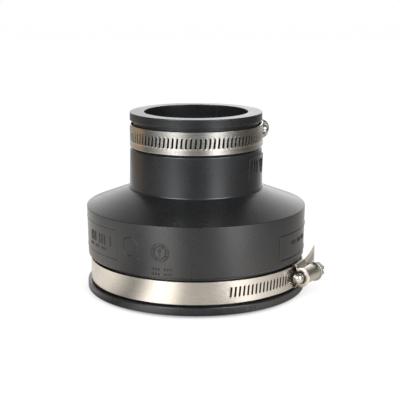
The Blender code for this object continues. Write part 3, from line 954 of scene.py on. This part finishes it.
def turn_screw(name, clamp, body, node):
    """One clamp's screw, made along Z and then set in its housing."""
    turns = [math.radians(6 * i) for i in range(21)]
    dome = [(TIP_R * math.sin(a), TIP_Z + TIP_R * math.cos(a), 0.0) for a in turns]
    neck = dome[-1][0]
    section = dome + [
        (neck, -1.2, 0.2),
        (CORE_R, -1.6, 0.1),
        (CORE_R, HEAD_Z + 1.6, 0.1),
        (neck, HEAD_Z + 1.2, 0.1),
        (neck, HEAD_Z, 0.15),
        (FLANGE_R, HEAD_Z, 0.3),
        (FLANGE_R, HEAD_Z - FLANGE, 0.45),
        (0.0, HEAD_Z - FLANGE, 0.0),
    ]
    shaft = turn_section(name, section, False, SCREW_TURN_R, SCREW_STEPS, SCREW_CORNER_STEPS, screw_steel)
    ridge = new_piece("ridge", bpy.data.meshes.new("ridge"))
    run_tree(ridge, ridging, {**RIDGE, "Material": screw_steel})
    face_out(ridge.data)
    head = hexagon_head()
    head.data.materials.append(screw_steel)
    face_out(head.data)
    whole = bmesh.new()
    for part in (shaft, ridge, head):
        whole.from_mesh(part.data)
    mesh = bpy.data.meshes.new(name)
    whole.to_mesh(mesh)
    whole.free()
    mesh.materials.append(screw_steel)
    mesh.shade_smooth()
    mesh.set_sharp_from_angle(angle=math.radians(40.0))
    for part in (ridge, head):
        bpy.data.objects.remove(part)
    shaft.data = mesh
    flats = shaft.modifiers.new("flat_faces", "WEIGHTED_NORMAL")
    flats.keep_sharp = True
    settle(shaft)
    toward_tip = -(clamp.along * math.cos(SCREW_TILT) + clamp.out * math.sin(SCREW_TILT))
    seat = clamp.point(clamp.start, clamp.floor_r + SCREW_OUT)
    turned = toward_tip.to_track_quat("Z", "Y").to_matrix().to_4x4()
    shaft.data.transform(Matrix.Translation(seat) @ turned)
    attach(shaft, body)
    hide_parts(node)


screw_steel = steel("screw_steel", (0.66, 0.63, 0.58), 0.3, (150.0, 150.0, 150.0))
ridging = thread_tree()
turn_screw("large_worm_screw", large_clamp, "large_clamp_screw", "large_screw")
turn_screw("small_worm_screw", small_clamp, "small_clamp_screw", "small_screw")


# Studio
# A white table and backdrop, a tall soft light to each side of the camera, and the camera where the photograph
# was taken from. Reflections see the two lights as painted lamplight that the table glows with, stretched down over
# it, and the dimmer room between them.

# Levels by bearing from the camera's side towards +X, for the table at three distances and the room at two heights:
# (degrees, level, share of blue). The table's levels are painted lamplight that the table glows with for
# reflections.
ROOM_NEAR_TABLE = (
    (-180, 1.0, 1.0), (-150, 0.95, 1.0), (-128, 0.9, 0.9), (-100, 0.95, 0.9), (-86, 1.2, 0.9),
    (-72, 1.22, 0.9), (-60, 0.75, 0.9), (-49, 0.25, 0.9), (-41, 0.7, 0.9), (-33, 1.95, 0.9),
    (-26, 2.5, 0.9), (-17, 1.85, 0.9), (-9, 0.8, 0.9), (1, 0.62, 0.9), (13, 0.64, 0.9),
    (22, 1.0, 0.9), (31, 1.85, 0.9), (40, 1.65, 0.9), (50, 1.2, 0.9), (61, 0.9, 0.9),
    (76, 0.6, 0.9), (92, 0.5, 0.9), (120, 0.55, 0.9), (150, 0.9, 1.0), (180, 1.0, 1.0),
)
ROOM_FAR_TABLE = (
    (-180, 1.1, 1.0), (-150, 0.9, 1.0), (-128, 0.4, 0.95), (-100, 0.3, 0.8), (-90, 0.08, 0.9),
    (-76, 0.12, 1.0), (-62, 0.45, 1.0), (-50, 1.25, 1.0), (-38, 2.9, 1.02), (-28, 2.1, 1.02),
    (-18, 0.5, 1.0), (-8, 0.12, 1.0), (12, 0.12, 1.0), (20, 0.8, 1.0), (29, 3.0, 1.02),
    (38, 2.9, 1.02), (50, 0.9, 1.0), (62, 0.2, 0.95), (80, 0.05, 0.85), (97, 0.04, 0.7),
    (110, 0.2, 0.55), (126, 0.35, 0.7), (150, 0.9, 1.0), (180, 1.1, 1.0),
)
ROOM_END_TABLE = (
    (-180, 1.0, 1.0), (-134, 0.5, 1.1), (-128, 0.8, 0.3), (-104, 0.75, 0.3), (-98, 0.1, 1.1),
    (-78, 0.2, 1.15), (-55, 0.9, 1.15), (-38, 1.5, 1.15), (-28, 1.0, 1.15), (-17, 0.4, 1.15),
    (-6, 0.14, 1.15), (8, 0.14, 1.15), (20, 0.6, 1.15), (30, 1.8, 1.15), (40, 1.6, 1.15),
    (50, 0.7, 1.15), (66, 0.2, 1.1), (100, 0.06, 0.8), (130, 0.3, 1.0), (150, 0.9, 1.0),
    (180, 1.0, 1.0),
)
ROOM_LOW = (
    (-180, 1.8, 1.0), (-160, 1.5, 1.0), (-145, 0.7, 1.0), (-130, 0.16, 0.7), (-75, 0.15, 0.9),
    (-55, 0.4, 1.15), (-38, 0.4, 1.15), (0, 0.25, 1.15), (38, 0.45, 1.15), (58, 0.4, 1.15),
    (75, 0.15, 0.9), (130, 0.1, 0.7), (145, 0.7, 1.0), (160, 1.9, 1.0), (180, 2.1, 1.0),
)
ROOM_HIGH = (
    (-180, 1.8, 1.0), (-150, 1.3, 1.0), (-130, 0.15, 0.7), (-60, 0.3, 0.9), (-48, 17.0, 1.08),
    (-28, 17.0, 1.08), (-16, 0.6, 1.08), (18, 0.6, 1.08), (32, 17.0, 1.08), (52, 17.0, 1.08),
    (64, 0.3, 1.0), (130, 0.1, 0.7), (150, 1.6, 1.0), (180, 2.1, 1.0),
)


LAMPS_RISE = (0.24, 0.4)
CEILING_FADE = ((0.2, 1.0), (0.35, 0.8), (0.5, 0.56), (0.63, 0.32), (0.78, 0.03), (1.0, 0.02))

# Distances from the sleeve's axis at which the table's painted glow changes, and its levels between the last two:
# painted shade close round the base and a painted falloff of the lamplight further out
FAR_TABLE = (0.15, 0.36)
END_TABLE = (0.4, 0.44)
TABLE_REACH = (0.06, 0.76)
PAINTED_TABLE_LEVELS = (
    (0.006, 0.22), (0.017, 0.6), (0.035, 0.7), (0.12, 0.7), (0.2, 0.92),
    (0.34, 1.0), (0.5, 0.9), (0.6, 0.66), (0.72, 0.38), (1.0, 0.3),
)
PAINTED_TABLE_GLOW = 1.43

# The soft shadow close round the base, painted as a darker glow of the table, whose middle lies a little towards the
# camera
SHADOW_SHIFT = (0.0, -6 * MM, 0.0)
SHADOW_REACH = (58.5 * MM, 68 * MM)
PAINTED_SHADOW_LEVELS = ((0.0, 0.2), (0.12, 0.3), (0.25, 0.5), (0.45, 0.65), (0.7, 0.72), (1.0, 0.74))
TABLE_HALF = 3
TABLE_DROP = 0.2 * MM
AIM_HEIGHT = 50 * MM


def grey(level):
    return (level, level, level, 1.0)


def grey_ramp(tree, factor, stops):
    return ramp(tree, factor, [(place, grey(level)) for place, level in stops])


def length_of(tree, vector):
    return wire(tree, "ShaderNodeVectorMath", {0: vector}, operation="LENGTH").outputs["Value"]


def room_light(tree, way, name, levels):
    """What one table of levels shows in a direction."""
    group = bpy.data.node_groups.new(name, "ShaderNodeTree")
    group.interface.new_socket("Vector", in_out="INPUT", socket_type="NodeSocketVector")
    group.interface.new_socket("Color", in_out="OUTPUT", socket_type="NodeSocketColor")
    given, out = group.nodes.new("NodeGroupInput"), group.nodes.new("NodeGroupOutput")
    parts = wire(group, "ShaderNodeSeparateXYZ", {"Vector": given.outputs[0]})
    front = maths(group, "SUBTRACT", 0.0, parts.outputs["Y"])
    bearing = maths(group, "ARCTAN2", parts.outputs["X"], front)
    stops = [
        ((degrees + 180) / 360, (level, level * (0.5 + 0.5 * blue), level * blue, 1.0))
        for degrees, level, blue in levels
    ]
    seen = ramp(group, rescale(group, bearing, -math.pi, math.pi), stops)
    group.links.new(seen, out.inputs[0])
    shown = wire(tree, "ShaderNodeGroup", node_tree=group)
    tree.links.new(way, shown.inputs[0])
    return shown.outputs[0]


def world_light():
    """White to the camera, even for scattered light, and the room for reflections, darker towards the ceiling."""
    world = bpy.data.worlds.new("white_studio")
    bpy.context.scene.world = world
    world.use_nodes = True
    tree = world.node_tree
    tree.nodes.clear()
    ray = wire(tree, "ShaderNodeLightPath")
    way = wire(tree, "ShaderNodeTexCoord").outputs["Generated"]
    height = wire(tree, "ShaderNodeSeparateXYZ", {"Vector": way}).outputs["Z"]
    low = room_light(tree, way, "room_low", ROOM_LOW)
    high = room_light(tree, way, "room_high", ROOM_HIGH)
    room = blend(tree, rescale(tree, height, *LAMPS_RISE), low, high)
    dimmed = blend(tree, 1.0, room, grey_ramp(tree, height, CEILING_FADE), "MULTIPLY")
    reflected = wire(tree, "ShaderNodeBackground", {"Color": dimmed, "Strength": 1.0})
    spread = wire(tree, "ShaderNodeBackground", {"Color": grey(1.0), "Strength": 0.5})
    white = wire(tree, "ShaderNodeBackground", {"Color": grey(1.0), "Strength": 1.0})
    lit = {"Fac": ray.outputs["Is Glossy Ray"], 1: spread.outputs[0], 2: reflected.outputs[0]}
    shown = wire(tree, "ShaderNodeMixShader", lit)
    seen = {"Fac": ray.outputs["Is Camera Ray"], 1: shown.outputs[0], 2: white.outputs[0]}
    whole = wire(tree, "ShaderNodeMixShader", seen)
    wire(tree, "ShaderNodeOutputWorld", {"Surface": whole.outputs[0]})


def soft_light(name, bearing, reach, height, width, tall, level):
    """A soft box standing at a bearing from the camera's side, turned to the object."""
    lamp = bpy.data.lights.new(name, "AREA")
    lamp.shape = "RECTANGLE"
    lamp.size = width
    lamp.size_y = tall
    lamp.energy = level * math.pi * width * tall
    stand = bpy.data.objects.new(name, lamp)
    stand.visible_glossy = False
    angle = math.radians(bearing)
    stand.location = AXIS + Vector((reach * math.sin(angle), -reach * math.cos(angle), height))
    aim = AXIS + Vector((0.0, 0.0, AIM_HEIGHT)) - stand.location
    stand.rotation_euler = aim.to_track_quat("-Z", "Y").to_euler()
    bpy.context.scene.collection.objects.link(stand)


def white_floor():
    """A white table with a painted soft shadow round the base on top of its real one, that glows to reflections with
    painted lamplight and painted shade.
    """
    mesh = bpy.data.meshes.new("table")
    far = TABLE_HALF
    mesh.from_pydata([(-far, -far, 0), (far, -far, 0), (far, far, 0), (-far, far, 0)], [], [(0, 1, 2, 3)])
    table = new_piece("table", mesh)
    finish = bpy.data.materials.new("white_table")
    finish.use_nodes = True
    tree = finish.node_tree
    tree.nodes.clear()
    paint = wire(tree, "ShaderNodeBsdfDiffuse", {"Color": grey(0.5)})
    where = wire(tree, "ShaderNodeTexCoord")
    around = vector_maths(tree, "SUBTRACT", where.outputs["Object"], AXIS)
    near = length_of(tree, vector_maths(tree, "SUBTRACT", around, SHADOW_SHIFT))
    # Painted shadow: the table's white glow is darkened close round the base, on top of the real shadow in its
    # diffuse paint
    painted_contact_shadow = grey_ramp(tree, rescale(tree, near, *SHADOW_REACH), PAINTED_SHADOW_LEVELS)
    glow = wire(tree, "ShaderNodeEmission", {"Color": painted_contact_shadow, "Strength": 1.0})
    both = wire(tree, "ShaderNodeAddShader", {0: paint.outputs[0], 1: glow.outputs[0]})
    reach = length_of(tree, around)
    near_look = room_light(tree, around, "near_table", ROOM_NEAR_TABLE)
    far_look = room_light(tree, around, "far_table", ROOM_FAR_TABLE)
    end_look = room_light(tree, around, "end_table", ROOM_END_TABLE)
    table_look = blend(tree, rescale(tree, reach, *FAR_TABLE), near_look, far_look)
    whole_look = blend(tree, rescale(tree, reach, *END_TABLE), table_look, end_look)
    # Painted shade close round the base and a painted falloff further out, multiplied into the table's glow
    painted_shade_and_falloff = grey_ramp(tree, rescale(tree, reach, *TABLE_REACH), PAINTED_TABLE_LEVELS)
    toned = blend(tree, 1.0, whole_look, painted_shade_and_falloff, "MULTIPLY")
    # Painted reflection: for glossy rays the table glows with painted lamplight, so the object reflects light that
    # no lamp gives
    painted_reflection_glow = wire(tree, "ShaderNodeEmission", {"Color": toned, "Strength": PAINTED_TABLE_GLOW})
    ray = wire(tree, "ShaderNodeLightPath")
    looks = {"Fac": ray.outputs["Is Glossy Ray"], 1: both.outputs[0], 2: painted_reflection_glow.outputs[0]}
    whole = wire(tree, "ShaderNodeMixShader", looks)
    wire(tree, "ShaderNodeOutputMaterial", {"Surface": whole.outputs[0]})
    mesh.materials.append(finish)
    table.location.z = -TABLE_DROP


world_light()
white_floor()
for name, bearing, width in (("left_soft_box", -37.0, 0.45), ("right_soft_box", 42.0, 0.4)):
    soft_light(name, bearing, reach=1.1, height=0.5, width=width, tall=1.0, level=3.0)

lens = bpy.data.cameras.new("camera")
lens.lens = 93.7
lens.sensor_width = 36.0
lens.shift_x = 0.01
camera = bpy.data.objects.new("camera", lens)
camera.location = AXIS + Vector((0.0, -0.6, 0.182))
camera.rotation_euler = (math.radians(77.63), 0.0, 0.0)
bpy.context.scene.collection.objects.link(camera)
bpy.context.scene.camera = camera
bpy.context.scene.view_settings.view_transform = "Standard"
